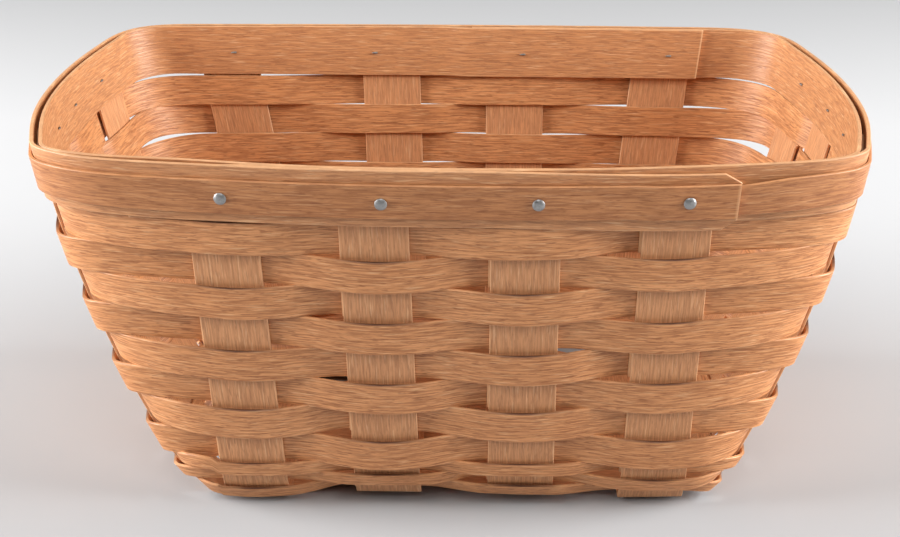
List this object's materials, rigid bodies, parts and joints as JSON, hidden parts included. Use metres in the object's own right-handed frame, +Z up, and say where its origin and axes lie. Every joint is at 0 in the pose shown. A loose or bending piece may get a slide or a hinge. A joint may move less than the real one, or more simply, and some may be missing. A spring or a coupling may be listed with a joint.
{
  "type": "woven basket",
  "caption": "Open rectangular basket with rounded corners and flared walls, woven from flat wooden strips, with a double rim band and a tacked trim strip; holds loose things.",
  "frame": {"origin": "middle of the overall outline on the surface the basket stands on", "axes": "+Z up, +X along the long sides, front towards -Y"},
  "size_m": [0.3232, 0.2038, 0.1487],
  "materials": {
    "upright_wood": "thin satin varnish over plain hardwood",
    "weaver_wood": "thin satin varnish over plain hardwood",
    "band_wood": "thin satin varnish over plain hardwood",
    "trim_wood": "thin satin varnish over plain hardwood",
    "tack_steel": "plain dull steel"
  },
  "bodies": {
    "root": {"cross_strip_1": "upright_wood", "cross_strip_2": "upright_wood", "cross_strip_3": "upright_wood", "cross_strip_4": "upright_wood", "long_strip_1": "upright_wood", "long_strip_2": "upright_wood", "long_strip_3": "upright_wood", "long_strip_4": "upright_wood", "narrow_weaver_1": "weaver_wood", "narrow_weaver_2": "weaver_wood", "narrow_weaver_3": "weaver_wood", "weaver_1": "weaver_wood", "weaver_2": "weaver_wood", "weaver_3": "weaver_wood", "weaver_4": "weaver_wood", "weaver_5": "weaver_wood", "weaver_6": "weaver_wood", "weaver_7": "weaver_wood", "weaver_8": "weaver_wood", "outer_band": "band_wood", "inner_band": "band_wood", "trim_strip": "trim_wood", "tack_01": "tack_steel", "tack_02": "tack_steel", "tack_03": "tack_steel", "tack_04": "tack_steel", "tack_05": "tack_steel", "tack_06": "tack_steel", "tack_07": "tack_steel", "tack_08": "tack_steel", "tack_09": "tack_steel", "tack_10": "tack_steel", "tack_11": "tack_steel", "tack_12": "tack_steel", "tack_13": "tack_steel", "tack_14": "tack_steel", "tack_15": "tack_steel", "tack_16": "tack_steel"}
  },
  "joints": []
}
